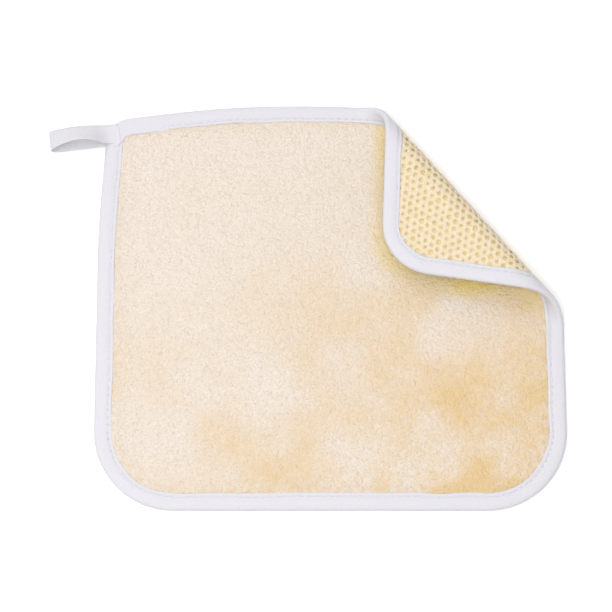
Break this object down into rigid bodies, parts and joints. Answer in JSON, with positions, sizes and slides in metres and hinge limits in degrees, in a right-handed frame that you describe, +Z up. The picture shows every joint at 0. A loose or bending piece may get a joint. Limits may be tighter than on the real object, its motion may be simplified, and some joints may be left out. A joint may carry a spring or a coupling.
{
  "type": "scrub cloth",
  "caption": "Two-sided bath scrub cloth with a pile front, a net back, a bound and stitched edge, a hanging loop and one corner turned over.",
  "frame": {"origin": "middle of the cloth's underside, on the surface that it lies on", "axes": "+X to the right along the bottom edge, +Y from the bottom edge to the top edge, +Z up out of the pile side"},
  "size_m": [0.2783, 0.224, 0.0227],
  "materials": {
    "pile_fabric": "matt cream fabric with a fine pebbled pile",
    "net_fabric": "straw yellow open honeycomb net",
    "woven_tape": "white woven tape, matt",
    "seam_thread": "white twisted thread with a slight sheen"
  },
  "bodies": {
    "cloth": {"front_panel": "pile_fabric", "back_net": "net_fabric", "edge_tape": "woven_tape", "needle_thread": "seam_thread", "bobbin_thread": "seam_thread", "loop_tails": "woven_tape"},
    "corner": {"front_panel_corner": "pile_fabric", "back_net_corner": "net_fabric", "edge_tape_corner": "woven_tape", "needle_thread_corner": "seam_thread", "bobbin_thread_corner": "seam_thread"},
    "loop": {"hanging_loop": "woven_tape"}
  },
  "joints": [
    {"name": "corner_fold", "type": "hinge", "parent": "cloth", "child": "corner", "pos_m": [0.06959, 0.05964, 0.01135], "axis": [-0.6508, 0.7593, 0], "range_deg": [0, 180]},
    {"name": "loop_swing", "type": "hinge", "parent": "cloth", "child": "loop", "pos_m": [-0.12274, 0.09487, 0.0037], "axis": [-0.1219, 0.9925, 0], "range_deg": [0, 150]}
  ]
}
